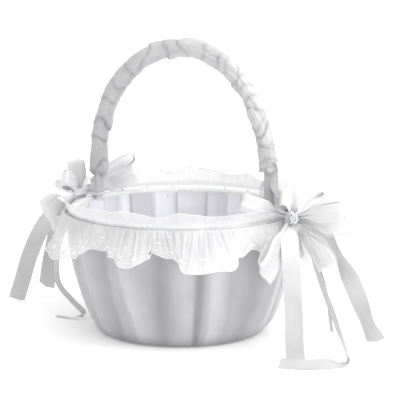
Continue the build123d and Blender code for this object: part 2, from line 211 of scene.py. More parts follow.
# ---- cloth from a surface -----------------------------------------------------------------------
def mesh_object(name, points, faces, uvs, material):
    """A smooth mesh, with one UV for each point."""
    mesh = bpy.data.meshes.new(name)
    mesh.from_pydata(points, [], faces)
    layer = mesh.uv_layers.new(name="UVMap")
    for corner in mesh.loops:
        layer.data[corner.index].uv = uvs[corner.vertex_index]
    mesh.polygons.foreach_set("use_smooth", [True] * len(mesh.polygons))
    mesh.materials.append(material)
    mesh.update()
    made = bpy.data.objects.new(name, mesh)
    bpy.context.collection.objects.link(made)
    return made


def grid(name, surface, steps, size, material, closed=False, shade=None):
    """A sheet from surface(u, v), both 0 to 1.

    steps and size run along, then across. closed joins the two ends. shade(u, v), a painted shade, is
    written as "fold".
    """
    along, across = steps
    columns = along if closed else along + 1
    points, uvs = [], []
    for i in range(columns):
        for j in range(across + 1):
            u, v = i / along, j / across
            points.append(surface(u, v))
            uvs.append((v * size[1], (u if not closed or u < 0.5 else u) * size[0]))
    faces = []
    for i in range(along):
        for j in range(across):
            a, b = i * (across + 1) + j, ((i + 1) % columns) * (across + 1) + j
            faces.append((a, b, b + 1, a + 1))
    made = mesh_object(name, points, faces, uvs, material)
    # the painted shade, one tone for each point
    if shade:
        layer = made.data.color_attributes.new("fold", "FLOAT_COLOR", "POINT")
        for i in range(columns):
            for j in range(across + 1):
                tone = shade(i / along, j / across)
                layer.data[i * (across + 1) + j].color = (tone, tone, tone, 1)
    return made


def place(piece, slot, *nodes):
    """Puts a piece on the body in place of the CAD nodes that it stands for."""
    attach(piece, "root")
    if nodes:
        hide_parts(*nodes)
    return piece


def tube(name, route, radius, material, closed=False, sides=6):
    """A thin round cord along a list of points."""
    count = len(route)

    def skin(u, v):
        index = round(u * (count if closed else count - 1)) % count
        before, after = route[index - 1], route[(index + 1) % count]
        if not closed:
            before = route[max(0, index - 1)]
            after = route[min(count - 1, index + 1)]
        ahead = (after - before).normalized()
        side = ahead.orthogonal().normalized()
        up = ahead.cross(Vector((0, 0, 1)))
        side = up.normalized() if up.length > 0.2 else side
        over = ahead.cross(side)
        turn = tau * v
        return route[index] + (side * cos(turn) + over * sin(turn)) * radius

    steps = count if closed else count - 1
    return grid(name, skin, (steps, sides), (steps * 2 * mm, 2 * mm), material, closed)


def smooth(x):
    x = min(1.0, max(0.0, x))
    return x * x * (3 - 2 * x)


def ripple(*where, seed=0):
    """Smooth noise from -1 to 1."""
    where = tuple(where) + (0.0,) * (3 - len(where))
    return noise.noise(Vector(where) + Vector((seed * 7.31, seed * 3.17, seed * 1.93)))


def round_noise(angle, height, scale, seed=0):
    """Noise that closes on itself round the basket."""
    return ripple(scale * cos(angle), scale * sin(angle), height, seed=seed)


def squared(x):
    """x from -1 to 1, pushed toward its ends, so that a circle made with it comes out squarer."""
    return abs(x) ** 0.55 * (1 if x > 0 else -1)


# ---- the bowl's section -------------------------------------------------------------------------
WALL_ARC, CORNER_ARC, CORNER_ANGLE = 235 * mm, 30 * mm, radians(23.3)


def section(inset, low, steps=46):
    """Points (radius, height) down the side from the rim to height low."""
    centre = RIM_R - WALL_ARC, RIM_Z
    corner = (
        centre[0] + (WALL_ARC - CORNER_ARC) * cos(CORNER_ANGLE),
        centre[1] - (WALL_ARC - CORNER_ARC) * sin(CORNER_ANGLE),
    )
    last = asin(min(1.0, (corner[1] - low) / (CORNER_ARC - inset)))
    points = []
    for step in range(steps):
        angle = CORNER_ANGLE * step / steps
        reach = WALL_ARC - inset
        points.append((centre[0] + reach * cos(angle), centre[1] - reach * sin(angle)))
    for step in range(steps // 2 + 1):
        angle = CORNER_ANGLE + (last - CORNER_ANGLE) * step / (steps // 2)
        reach = CORNER_ARC - inset
        points.append((corner[0] + reach * cos(angle), corner[1] - reach * sin(angle)))
    return points


def point_at(points, v):
    """The point at fraction v of a list."""
    at = v * (len(points) - 1)
    low = min(int(at), len(points) - 2)
    part = at - low
    return tuple(a + (b - a) * part for a, b in zip(points[low], points[low + 1]))


def gap_to(angle, azimuth):
    """Signed degrees from an azimuth, -180 to 180."""
    return (degrees(angle) - azimuth + 180) % 360 - 180


# ---- outer cover --------------------------------------------------------------------------------
# Each fold: azimuth at the rim and at the foot, height in mm (valleys below zero), width either way.
COVER_FOLDS = [
    (-47.6, -48.8, -5.2, 1.5, 1.7),
    (-56.0, -55.0, 1.9, 5.0, 4.5),
    (-42.5, -41.5, 3.0, 2.4, 7.0),
    (-67.5, -69.0, -3.6, 6.0, 5.0),
    (-90.0, -81.5, 3.4, 2.6, 7.0),
    (-100.5, -98.0, -2.4, 5.0, 3.6),
    (-114.0, -109.0, 1.9, 3.4, 6.0),
    (-124.0, -126.0, -1.9, 3.5, 3.5),
    (-33.0, -30.0, -1.0, 2.2, 3.0),
    (-14.0, -18.0, -1.7, 8.0, 5.0),
    (3.0, 0.0, 1.6, 4.5, 5.0),
]
# The rest of the way round, most of it out of the photo's view: a valley, then a ridge.
azimuth = 14.0
while azimuth < 226:
    turned = rng.uniform(-5, 5)
    high = rng.uniform(1.2, 3.0)
    before, after = rng.uniform(1.8, 4.5), rng.uniform(2.5, 6.0)
    COVER_FOLDS.append((azimuth, azimuth + turned, -high, before, after))
    azimuth += rng.uniform(8, 12)
    before, after = rng.uniform(2.5, 5.0), rng.uniform(3.5, 7.0)
    COVER_FOLDS.append((azimuth, azimuth + turned, 0.8 * high, before, after))
    azimuth += rng.uniform(9, 17)


def folds_at(angle, height, folds):
    """Sum of soft pleats, each with its own slope to either side."""
    total = 0.0
    for top, foot, lift, before, after in folds:
        x = gap_to(angle, foot + (top - foot) * height)
        x /= before if x < 0 else after
        if abs(x) < 3.2:
            total += lift * exp(-x * x)
    return total


COVER_LIFT = 1.3  # mm that the satin stands out from its CAD solid, before its folds
VALLEY = 0.9  # mm inside that solid's surface, the deepest a valley goes: the moulded bowl is 1.3 inside
VALLEY_TURN = 2.2  # how sharply a valley bottoms out


def clear_of_shell(swell):
    """Bottoms valleys out softly before they reach the moulded bowl."""
    return log(1 + exp(VALLEY_TURN * (swell + VALLEY))) / VALLEY_TURN - VALLEY


def cover_surface():
    side = section(0, 1.2 * mm)
    foot = side[-1]
    side += [(foot[0] - step * 1.6 * mm, foot[1]) for step in range(1, 8)]

    def surface(u, v):
        angle = tau * u
        radius, z = point_at(side, v)
        height = (z - side[-1][1]) / (RIM_Z - side[-1][1])
        weight = smooth(height * 7) * (0.45 + 0.55 * smooth((1.02 - height) * 3))
        swell = folds_at(angle, height, COVER_FOLDS)
        swell += 0.9 * round_noise(angle, z * 9, 3.2, seed=1)
        swell += 0.20 * round_noise(angle, z * 14, 16, seed=2)
        swell += 0.8 * smooth(1 - height * 4.5) * round_noise(angle, z * 6, 26, seed=17)
        radius += clear_of_shell(weight * 1.15 * swell + COVER_LIFT) * mm
        return Vector((radius * cos(angle), radius * sin(angle), z))

    return surface


def cover_shade(u, v):
    """Painted shade: the cloth in the folds is darkened, as it takes less light than the ridges, and the
    cloth toward the foot too.
    """
    height = 1 - v * 1.12
    depth = folds_at(tau * u, max(0.0, height), COVER_FOLDS)
    depth += round_noise(tau * u, height * 0.9, 3.0, seed=19)
    # painted shade, darker toward the foot
    foot = 0.66 + 0.34 * smooth(height * 1.9 + 0.22)
    depth *= 0.75 + 0.45 * ripple(cos(tau * u) * 1.7, sin(tau * u) * 1.7, height * 1.5, seed=21)
    return (0.86 + 0.075 * max(-3.6, min(3.0, depth))) * foot


cover = grid("cover", cover_surface(), (720, 90), (0.61, 0.145), COVER_SATIN, closed=True, shade=cover_shade)
place(cover, "satin", "outer_cover")


# ---- lining -------------------------------------------------------------------------------------
# Azimuths where the lining's flat pleats turn under.
PLEATS = [-168, -149, -128, -106, -88, -66, -47, -28, -9, 12]
PLEATS += [33, 52, 74, 96, 108.5, 126.6, 141.0, 155.7, 163.5, 177]
PLEAT_EDGES = PLEATS + [PLEATS[0] + 360]


def pleat_depth(angle, height):
    """Flat facets in mm: each rises slowly toward its edge and falls sharply under it."""
    azimuth = (degrees(angle) - PLEATS[0]) % 360 + PLEATS[0]
    for index, (low, high) in enumerate(zip(PLEAT_EDGES, PLEAT_EDGES[1:])):
        low += 4.5 * sin(index * 2.7) * (height - 0.6)
        high += 4.5 * sin((index + 1) % len(PLEATS) * 2.7) * (height - 0.6)
        if low <= azimuth < high:
            part = (azimuth - low) / (high - low)
            tall = 2.3 + 1.2 * sin(index * 1.9)
            return tall * (part**1.3) * smooth((high - azimuth) / 1.5)
    return 0.0


def from_feet(angle):
    """Degrees from the nearer foot of the handle."""
    return min(abs(gap_to(angle, 0)), abs(gap_to(angle, 180)))


STRIP_SHOWS = 70 * mm  # above this the handle's strip bulges the lining


def lining_surface():
    side = section(RIM_R - LINING_R, FLOOR_TOP - 0.4 * mm)

    def surface(u, v):
        angle = -tau * u
        radius, z = point_at(side, v)
        height = (z - FLOOR_TOP) / (RIM_Z - FLOOR_TOP)
        weight = 0.25 + 0.75 * smooth(height * 2)
        weight *= 0.30 + 0.70 * smooth((1.0 - height) * 6)
        swell = pleat_depth(angle, height)
        swell += 0.9 * round_noise(angle, z * 12, 4, seed=3)
        swell += 0.25 * round_noise(angle, z * 30, 18, seed=18)
        radius -= weight * (swell + 0.9) * mm + 0.5 * mm
        over_foot = smooth((z - STRIP_SHOWS) / (12 * mm)) * smooth((RIM_Z - z) / (6 * mm))
        radius -= 2.6 * mm * exp(-((from_feet(angle) / 5.0) ** 2)) * over_foot
        return Vector((radius * cos(angle), radius * sin(angle), z))

    return surface


def lining_shade(u, v):
    """Painted light and shade: each flat pleat gets its own brightness, as it catches the light its own way,
    with painted shade under its edge.
    """
    angle, height = -tau * u, 1 - v
    azimuth = (degrees(angle) - PLEATS[0]) % 360 + PLEATS[0]
    index = max(i for i, edge in enumerate(PLEATS) if edge <= azimuth)
    after = PLEAT_EDGES[index + 1]
    part = (azimuth - PLEATS[index]) / (after - PLEATS[index])
    tone = 0.86 + 0.13 * sin(index * 2.6 + 1.0)
    tone -= 0.22 * exp(-(((after - azimuth) / 1.6) ** 2))
    tone += 0.06 * (part - 0.5) + 0.05 * round_noise(angle, height, 3, seed=20)
    return tone


lining = grid(
    "lining", lining_surface(), (600, 60), (0.60, 0.12), WALL_LINING, closed=True, shade=lining_shade
)
place(lining, "lining_satin", "wall_lining", "wall_wadding")

# ---- floor pad ----------------------------------------------------------------------------------
PAD_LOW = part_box("floor_pad")[0][2]
PAD_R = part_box("floor_lining")[1][0] - 0.6 * mm


def pad_surface(u, v):
    """A crowned round cushion with radial puckers at its edge."""
    angle = tau * u
    bend = pi * (v - 0.5)
    edge = 1 - 0.006 * (1 + cos(26 * angle + 2 * round_noise(angle, 0, 2, seed=4))) * cos(bend) ** 4
    radius = PAD_R * edge * (cos(bend) ** 0.32 if 0 < v < 1 else 0.0)
    height = (FLOOR_TOP - PAD_LOW) / 2
    rise = sin(bend) * height
    if v > 0.5:
        rise += 0.7 * mm * round_noise(angle, radius * 30, 1.5, seed=5) * (1 - radius / PAD_R)
        rise -= 0.6 * mm * abs(cos(13 * angle)) * smooth((radius / PAD_R - 0.7) * 4)
    return Vector((radius * cos(angle), radius * sin(angle), PAD_LOW + height + rise))


pad = grid("floor_cushion", pad_surface, (208, 48), (0.42, 0.14), LINING, closed=True)
place(pad, "lining_satin", "floor_pad", "floor_lining")

# ---- rim binding --------------------------------------------------------------------------------
BINDING_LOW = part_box("rim_binding")[0][2]
BINDING_R = (RIM_R + LINING_R) / 2


def binding_surface(u, v):
    """Satin folded over the edge, puckered where the gathering stitches pull it."""
    angle = tau * u
    half = (RIM_R - LINING_R) / 2 + 0.9 * mm
    drop = BINDING_TOP - BINDING_LOW
    turn = pi * v
    pucker = 0.8 * ripple(70 * cos(angle), 70 * sin(angle), v * 2.0, seed=6)
    pucker += 0.6 * ripple(24 * cos(angle), 24 * sin(angle), v, seed=7)
    rise = sin(turn) ** 0.7 if 0 < v < 1 else 0.0
    radius = BINDING_R + squared(cos(turn)) * (half + pucker * 0.45 * mm)
    z = BINDING_LOW + 2 * mm + (drop - 2 * mm) * rise + 0.5 * pucker * mm * rise
    return Vector((radius * cos(angle), radius * sin(angle), z))


binding = grid("binding", binding_surface, (900, 20), (0.62, 0.024), RIBBON, closed=True)
place(binding, "satin", "rim_binding", "lace_heading_tape")

# ---- falling lace frill -------------------------------------------------------------------------
# Azimuths where the frill folds back; a lobe hangs between each two.
VALLEYS = [-152, -90, -70.5, -21, 14, 50, 92, 130, 168, 208]
FRILL_TOP = HEADING[1][2] - 0.6 * mm
FRILL_R = HEADING[1][0] - 0.2 * mm
FRILL_LENGTH = 45 * mm
FRILL_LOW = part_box("lace_falling_frill")[0][2]
FRILL_STRIP = 0.70  # length that the embroidery is drawn on, round the frill
SCALLOPS = 54  # the stitched edge's small scallops, with a flower over each
LEAF_LIFT = 0.35 * mm


def lobe(angle):
    """(phase from -pi to pi within a lobe, the lobe's width in degrees)."""
    azimuth = (degrees(angle) - VALLEYS[0]) % 360 + VALLEYS[0]
    for low, high in zip(VALLEYS, VALLEYS[1:]):
        if low <= azimuth <= high:
            return tau * (azimuth - low) / (high - low) - pi, high - low
    return -pi, 40


def frill_surface(u, v):
    """v runs from the gathering line down to the scalloped edge."""
    angle = tau * u
    phase, width = lobe(angle)
    size = min(1.0, width / 50)
    swell = cos(phase)
    free = v**1.25
    small = ripple(11 * cos(angle), 11 * sin(angle), v * 0.8, seed=8)
    fine = ripple(42 * cos(angle), 42 * sin(angle), v * 1.2, seed=9)
    radius = FRILL_R + (1.5 + 13.0 * v) * mm
    radius += free * (7.0 * size * swell + 3.0 * small) * mm
    radius += (2.1 * (1 - v) + 0.35) * fine * mm * smooth(v * 6)
    drop = FRILL_LENGTH * (0.64 * v - 0.06 * v**4 + v * (0.15 * size * swell + 0.05 * small))
    scallop = 1.3 * mm * (0.5 - 0.5 * cos(angle * SCALLOPS)) * v**6
    z = FRILL_TOP - drop + scallop + 1.6 * mm * sin(pi * v)
    shift = free * 0.055 * sin(2 * phase) * size * width / 50
    turn = angle + shift
    return Vector((radius * cos(turn), radius * sin(turn), z))


FRILL_STEPS = 1080
FRILL_TURN = [step / FRILL_STEPS for step in range(FRILL_STEPS)]
frill = grid("lace_frill", frill_surface, (FRILL_STEPS, 30), (1.05, 0.045), LACE, closed=True)
place(frill, "embroidered_organza", "lace_falling_frill")


def frill_normal(u, v):
    step = 0.002
    across = frill_surface(u + step, v) - frill_surface(u - step, v)
    down = frill_surface(u, min(1, v + 0.02)) - frill_surface(u, max(0, v - 0.02))
    return down.cross(across).normalized()


def stitch(u, v, lift):
    return frill_surface(u, v) + frill_normal(u, v) * lift


def embroidery():
    """Satin-stitch flowers, leaves and dots, raised from the lace ground."""
    points, faces, uvs = [], [], []

    def petal(u, v, aim, length, width, lift):
        """One raised petal, drawn in the flat strip and laid on the frill."""
        first = len(points)
        for scale, rise in ((1.0, 0.12), (0.55, 1.0)):
            for step in range(8):
                turn = tau * step / 8
                x = length * 0.5 * (1 + scale * cos(turn))
                y = width * 0.5 * scale * sin(turn)
                du = (x * cos(aim) - y * sin(aim)) / FRILL_STRIP
                dv = (x * sin(aim) + y * cos(aim)) / FRILL_LENGTH
                points.append(stitch(u + du, min(0.995, v + dv), lift * rise))
                uvs.append((x, y))
        for step in range(8):
            after = (step + 1) % 8
            faces.append((first + step, first + after, first + 8 + after, first + 8 + step))
        faces.append(tuple(first + 8 + step for step in range(8)))

    for index in range(SCALLOPS):
        u = (index + 0.5) / SCALLOPS
        v = 0.80 + 0.03 * sin(index * 2.1)
        start = index * 0.7
        for step in range(6):
            petal(u, v, start + tau * step / 6, 3.0 * mm, 1.9 * mm, 0.45 * mm)
        petal(u - 0.5 * mm / FRILL_STRIP, v, 0, 1.2 * mm, 1.2 * mm, 0.8 * mm)
        for side in (-1, 1):
            low_leaf, high_leaf = (u + side * offset * mm / FRILL_STRIP for offset in (4.6, 3.6))
            petal(low_leaf, v + 0.05, 0.5 * pi + side * 0.7, 2.6 * mm, 1.1 * mm, LEAF_LIFT)
            petal(high_leaf, v - 0.12, -0.5 * pi + side * 0.8, 3.0 * mm, 1.1 * mm, LEAF_LIFT)
        if index % 2:
            for step in range(5):
                petal(u + 0.3 / SCALLOPS, 0.52, tau * step / 5, 2.0 * mm, 1.3 * mm, LEAF_LIFT)
        petal(u + 0.5 / SCALLOPS, 0.66, 1.2, 1.3 * mm, 1.2 * mm, LEAF_LIFT)
        petal(u, 0.36 + 0.05 * sin(index), 0.4, 1.1 * mm, 1.1 * mm, 0.3 * mm)
    return mesh_object("frill_embroidery", points, faces, uvs, THREAD)


flowers = place(embroidery(), "embroidered_organza")
EDGE_ROUTE = [frill_surface(u, 1.0) for u in FRILL_TURN]
INNER_ROUTE = [stitch(u, 0.90 - 0.02 * cos(u * tau * SCALLOPS), 0.15 * mm) for u in FRILL_TURN]
edge = tube("frill_edge_cord", EDGE_ROUTE, 0.38 * mm, THREAD, closed=True)
inner = tube("frill_inner_cord", INNER_ROUTE, 0.22 * mm, THREAD, closed=True)
for cord in (edge, inner):
    place(cord, "embroidered_organza")


# ---- standing frill -----------------------------------------------------------------------------
def standing_surface(u, v):
    """The narrow heading above the gathers: upright at the back, fallen outward at the front."""
    angle = tau * u
    front = smooth((cos(angle + radians(57)) + 0.25) * 1.3)
    lobes = ripple(4.2 * cos(angle), 4.2 * sin(angle), v * 0.4, seed=10)
    fine = ripple(38 * cos(angle), 38 * sin(angle), v, seed=11)
    tall = (11.0 + 0.5 * front + 6.5 * lobes) * mm
    tall *= 0.35 + 0.65 * smooth((from_feet(angle) - 9) / 10)
    lean = 0.28 + front * 0.45 * v
    radius = FRILL_R + 0.3 * mm + tall * v * sin(lean) + v * (1.6 * lobes + 0.9 * fine) * mm
    z = FRILL_TOP + 3.2 * mm + (3.0 * mm * (1 - front * 0.6) + tall * cos(lean)) * v
    radius = radius - (FRILL_R - BINDING_R - 3.5 * mm) * smooth(v * 3) * (1 - 0.85 * front)
    wave = front * v * 2.2 * mm * ripple(9 * cos(angle), 9 * sin(angle), 0.3, seed=22)
    radius, z = radius + 2 * wave, z + wave
    return Vector((radius * cos(angle), radius * sin(angle), z))


STANDING_STEPS = 900
standing = grid("standing_frill", standing_surface, (STANDING_STEPS, 14), (0.90, 0.012), LACE, closed=True)
place(standing, "embroidered_organza", "lace_standing_frill")
TOP_ROUTE = [standing_surface(step / STANDING_STEPS, 1.0) for step in range(STANDING_STEPS)]
top_cord = tube("standing_edge_cord", TOP_ROUTE, 0.25 * mm, THREAD, closed=True)
place(top_cord, "embroidered_organza")


# ---- handle -------------------------------------------------------------------------------------
def handle_line(count=400):
    """Points along the handle from the left sleeve end to the right one."""
    line = []
    straight = 14
    for step in range(straight):
        z = SLEEVE_END["left"] + (SPRING - SLEEVE_END["left"]) * step / straight
        line.append(Vector((-LEG["left"], 0, z)))
    for step in range(count + 1):
        turn = pi - pi * step / count
        half = LEG["left"] + LEAN if cos(turn) < 0 else LEG["right"] - LEAN
        line.append(Vector((LEAN + half * cos(turn), 0, SPRING + (CROWN - SPRING) * sin(turn))))
    for step in range(1, 5):
        z = SPRING + (SLEEVE_END["right"] - SPRING) * step / 4
        line.append(Vector((LEG["right"], 0, z)))
    return line


LINE = handle_line()
LENGTHS = [0.0]
for one, two in zip(LINE, LINE[1:]):
    LENGTHS.append(LENGTHS[-1] + (two - one).length)


def gathers():
    """Gathers of the ruched sleeve: place, tilt, turn and height of the puff after it."""
    found, at = [], 5 * mm
    while at < LENGTHS[-1] - 2 * mm:
        late = at / LENGTHS[-1]
        tight = smooth((late - 0.58) * 9)
        tilt = rng.uniform(3.5, 7.5) * mm * (1.2 - 0.45 * tight)
        height = rng.uniform(1.6, 3.0)
        found.append((at, tilt, rng.uniform(0, tau), height))
        at += rng.uniform(13, 25) * mm * (1 - tight) + rng.uniform(6.5, 11) * mm * tight
    return found


GATHERS = gathers()


def along_handle(u):
    """(step of LINE, part of that step, length from the left end) at fraction u of the sleeve."""
    at = u * (len(LINE) - 1)
    index = min(int(at), len(LINE) - 2)
    part = at - index
    return index, part, LENGTHS[index] + (LENGTHS[index + 1] - LENGTHS[index]) * part


def seam(gather, turn):
    """Where a gather's seam crosses the sleeve at this turn, as a length from the left end."""
    at, tilt, phase, _ = gather
    return at + tilt * (cos(turn - phase) + 0.55 * cos(2 * turn + phase * 3))


def sleeve_surface(u, v):
    """Satin puffed between tilted seams: each puff rises sharply after one seam and fades to the next."""
    index, step, where = along_handle(u)
    point = LINE[index].lerp(LINE[index + 1], step)
    ahead = (LINE[index + 1] - LINE[index]).normalized()
    out = ahead.cross(Vector((0, -1, 0)))
    turn = tau * v
    c, s = cos(turn), sin(turn)
    low, high, lift = -12 * mm, LENGTHS[-1] + 12 * mm, 1.6
    for gather in GATHERS:
        edge = seam(gather, turn)
        if low < edge <= where:
            low, lift = edge, gather[3] * (0.55 + 0.45 * cos(turn + gather[2] * 5))
        elif where < edge < high:
            high = edge
    part = (where - low) / max(high - low, 0.5 * mm)
    reach = (where - low) / mm
    puff = lift * (1 - exp(-reach / 1.1)) * (1 - 0.85 * part)
    puff -= 0.5 * exp(-(((where - high) / (1.6 * mm)) ** 2))
    crease = abs(ripple(where * 48 + 1.4 * c, c * 1.4, s * 1.4, seed=12))
    small = abs(ripple(where * 130 + 2.0 * s, c * 2.0, s * 2.0, seed=13))
    lump = ripple(where * 30, c * 0.8, s * 0.8, seed=16)
    radius = 6.7 + 0.95 * puff + 1.7 * lump
    radius = (radius + 0.75 * (1 - 3.2 * crease) + 0.25 * (1 - 3 * small)) * mm
    end = min(where, LENGTHS[-1] - where)
    radius *= 0.74 + 0.26 * smooth(end / (3.0 * mm))
    ragged = smooth(1 - end / (6 * mm)) * (1 if where > LENGTHS[-1] / 2 else -1)
    point = point + out * 1.4 * mm * smooth((u - 0.62) * 6) * smooth((1.0 - u) * 12)  # sits out on the right
    skin = point + (out * c + Vector((0, 1, 0)) * s) * radius
    return skin + ahead * (ragged * (2.2 * cos(turn + 0.8) + 1.4 * cos(3 * turn)) - 0.5 * puff * part) * mm


def sleeve_shade(u, v):
    """Painted shade: the left of the arch and the cloth beside each seam are a little darker."""
    where = along_handle(u)[2]
    nearest = min(abs(where - seam(gather, tau * v)) for gather in GATHERS)
    return (0.84 + 0.16 * smooth(u * 1.5)) * (0.86 + 0.14 * smooth(nearest / (4.5 * mm)))


sleeve = grid("ruched_sleeve", sleeve_surface, (1150, 56), (0.50, 0.05), SLEEVE_SATIN, shade=sleeve_shade)
place(sleeve, "satin", "handle_sleeve")


def wrap_surface(side):
    low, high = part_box(f"stem_wrap_{side}")
    turns = 4.2 if side == "left" else 6.0

    def surface(u, v):
        """Ribbon wound in a slow spiral: each turn laps the one below."""
        turn = tau * v
        lap = (u * turns + v * 0.9) % 1.0
        grow = 0.35 * mm * lap
        half = Vector((2.5 * mm + grow, 5.4 * mm + grow))
        z = low[2] + (high[2] + 2 * mm - low[2]) * u
        widen = 1 + 0.10 * ripple(u * 3, v, seed=14)
        x = SIDES[side] * leg_x(side, z)
        across, deep = half.x * squared(cos(turn)), half.y * squared(sin(turn))
        return Vector((x + across * widen, deep * widen, z - 0.3 * mm))

    return surface


for side in SIDES:
    wound = grid(f"{side}_leg_wrap", wrap_surface(side), (120, 40), (0.045, 0.03), SATIN)
    place(wound, "satin", f"stem_wrap_{side}")


# ---- ribbon -------------------------------------------------------------------------------------
def spline(points, t):
    """A smooth curve through the points, t from 0 to 1."""
    spans = len(points) - 1
    at = t * spans
    index = min(int(at), spans - 1)
    part = at - index
    a, b = points[index], points[index + 1]
    before = points[index - 1] if index else a * 2 - b
    after = points[index + 2] if index + 2 <= spans else b * 2 - a
    return 0.5 * (
        (2 * a)
        + (b - before) * part
        + (2 * before - 5 * a + 4 * b - after) * part**2
        + (3 * a - before - 3 * b + after) * part**3
    )


NARROWEST_SHEET = 10 * mm
LEAST_HEIGHT = 0.35 * mm  # a ribbon on the floor lies this far above it


def hang(piece, side, width, extras=()):
    """Hands back the ribbon as it is."""
    if width >= NARROWEST_SHEET:
        list(extras)
    return piece


def tail_piece(side, label, width, slant, path, extras=()):
    """A ribbon along (point, side direction) pairs, its width along the direction given at each point."""
    name = f"{side}_bow_{label}"
    route = [Vector(point) * mm for point, _ in path]
    sides = [Vector(aim).normalized() for _, aim in path]
    length = sum((b - a).length for a, b in zip(route, route[1:]))
    wander = rng.uniform(0, 50)

    def surface(u, v):
        across = v - 0.5
        t = min(1.0, u + slant * across * width / length * smooth((u - 0.6) * 3))
        centre = spline(route, t)
        ahead = (spline(route, min(1, t + 0.01)) - spline(route, max(0, t - 0.01))).normalized()
        wide = spline(sides, t)
        wide = (wide - ahead * wide.dot(ahead)).normalized()
        face = ahead.cross(wide)
        pinch = 0.30 + 0.70 * smooth(t * length / (26 * mm))
        crease = 1 - smooth(t * length / (34 * mm))
        push = crease * 0.9 * mm * cos(3 * tau * across + 1)
        push += 0.5 * mm * ripple(t * length * 45, across * 0.6, wander) * smooth(t * 4)
        point = centre + wide * across * width * pinch + face * push
        point.z = max(point.z, LEAST_HEIGHT)
        return point

    # Painted shade: the tail is darker toward its free end.
    def shade(u, v):
        return 1.0 - 0.26 * smooth(u * 1.9 - 0.20)

    made = grid(name + "_cloth", surface, (90, 12), (length, width), TAIL_RIBBON, shade=shade)
    place(made, "satin", name)
    return hang(made, side, width, extras)


def loop_piece(side, loop, material, slot, creases, wave=0.0):
    """A ribbon bent back on itself, gathered where it enters the knot."""
    label, aim, puff_aim, root, length, width, puff = loop
    name = f"{side}_bow_{label}"
    aim = Vector(aim).normalized()
    face = Vector(puff_aim)
    face = (face - aim * face.dot(aim)).normalized()
    wide = face.cross(aim)
    root = Vector(near(side, *root)) * mm
    length, width, puff = length * mm, width * mm, puff * mm
    wander = rng.uniform(0, 50)

    def surface(u, v):
        across = v - 0.5
        turn = tau * u
        out = (1 - cos(turn)) / 2
        reach = out**0.85 * length
        open_up = 0.52 * puff * sin(turn) * (0.35 + 0.65 * out)
        full = smooth(out * 2.0)
        pinch = 0.22 + 0.78 * full
        crease = (1 - 0.80 * full) * 1.3 * mm
        push = crease * cos(creases * tau * across + wander)
        push += 1.5 * mm * full * ripple(across * 1.6, out * 1.3, wander)
        sag = wave * mm * full * cos(tau * 1.2 * across + wander) * sin(turn * 0.5)
        spread = across * width * pinch
        reach += (1.2 * ripple(across * 2.2, wander, 1) - 2.0 * across * across) * mm * full
        bend = open_up + push * (1 if turn < pi else -1) + sag
        return root + aim * reach + wide * spread + face * bend

    made = grid(name + "_cloth", surface, (84, 20), (2.1 * length, width), material)
    place(made, slot, name)
    return hang(made, side, width)


def knot_piece(side):
    """A wrapped knot of satin, creased along the ribbon."""
    centre = KNOT[side]
    low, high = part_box(f"{side}_bow_knot")
    half = (Vector(high) - Vector(low)) / 2

    def surface(u, v):
        lon, lat = tau * u, pi * (v - 0.5)
        crease = 0.05 * cos(9 * lat + 1.5 * sin(lon))
        crease += 0.06 * ripple(3 * cos(lon), 3 * sin(lon), 2 * sin(lat), seed=15)
        waist = 1 + crease + 0.05 * cos(2 * lon)
        ball = Vector((cos(lat) * cos(lon), cos(lat) * sin(lon), sin(lat)))
        return centre + Vector([a * b for a, b in zip(half, ball)]) * waist

    made = grid(f"{side}_bow_knot_satin", surface, (48, 32), (0.03, 0.02), RIBBON, closed=True)
    place(made, "satin", f"{side}_bow_knot")
    return made


for side in SIDES:
    knot_piece(side)

def near(side, *offset):
    """A point given from the knot's centre, in millimetres."""
    return tuple(centre / mm + move for centre, move in zip(KNOT[side], offset))


# Each loop: label, aim, puff aim, root from the knot, length, width, puff.
ORGANZA_LOOPS = {
    "right": [
        ("organza_loop_1", (-0.12, 0.14, 0.95), (1, -0.5, 0), (-1, 5, 4), 43, 36, 17),
        ("organza_loop_2", (0.84, 0.46, 0.12), (0.6, -0.7, 0.4), (5, 4, 0), 45, 34, 15),
        ("organza_loop_3", (0.58, 0.16, -0.80), (0.2, 1, 0.3), (5, 2, -5), 44, 26, 12),
        ("organza_loop_4", (0.05, -0.80, -0.60), (1, 0, 0), (1, -7, -4), 56, 26, 8),
        ("organza_loop_5", (-0.72, 0.47, 0.51), (0.5, 0.8, 0), (-4, 7, 4), 54, 32, 12),
    ],
    "left": [
        ("organza_loop_1", (-0.45, -0.30, 0.60), (1, 0, 0.5), (-2, 0, 2), 23, 26, 12),
        ("organza_loop_2", (0.40, 0.84, 0.30), (0.8, -0.6, 0), (1, 9, 5), 50, 28, 12),
        ("organza_loop_3", (-0.30, -0.80, -0.45), (0.8, -0.3, 0), (-4, -6, -2), 32, 30, 14),
        ("organza_loop_4", (-0.50, 0.80, -0.08), (-1, -0.3, 0), (-4, 7, -1), 36, 28, 12),
    ],
}
SATIN_LOOPS = {
    "right": [
        ("satin_loop_inner", (-0.46, -0.82, 0.34), (0.9, -0.5, 0), (-3, -6, 4), 44, 15, 12),
        ("satin_loop_outer", (0.95, 0.10, 0.20), (0.1, -1, 0), (6, 1, 2), 42, 15, 12),
        ("satin_loop_short", (0.20, -0.72, 0.64), (0.8, 0.3, 0), (1, -5, 6), 26, 15, 9),
        ("narrow_loop", (0.12, 0.90, 0.34), (-1, 0, 0.3), (3, 8, 2), 37, 6, 9),
    ],
    "left": [
        ("satin_loop_inner", (0.30, -0.84, 0.46), (0.9, 0.5, 0), (3, -9, 5), 40, 15, 11),
        ("satin_loop_outer", (-0.22, 0.04, 0.95), (0.5, -0.8, 0), (-1, 1, 5), 27, 15, 11),
        ("satin_loop_short", (-0.12, -0.76, -0.62), (-1, 0, 0), (-1, -7, -5), 25, 15, 9),
        ("narrow_loop", (0.55, 0.56, 0.42), (0, 0, 1), (5, 8, 12), 46, 5, 13),
    ],
}
narrow = {side: [] for side in SIDES}
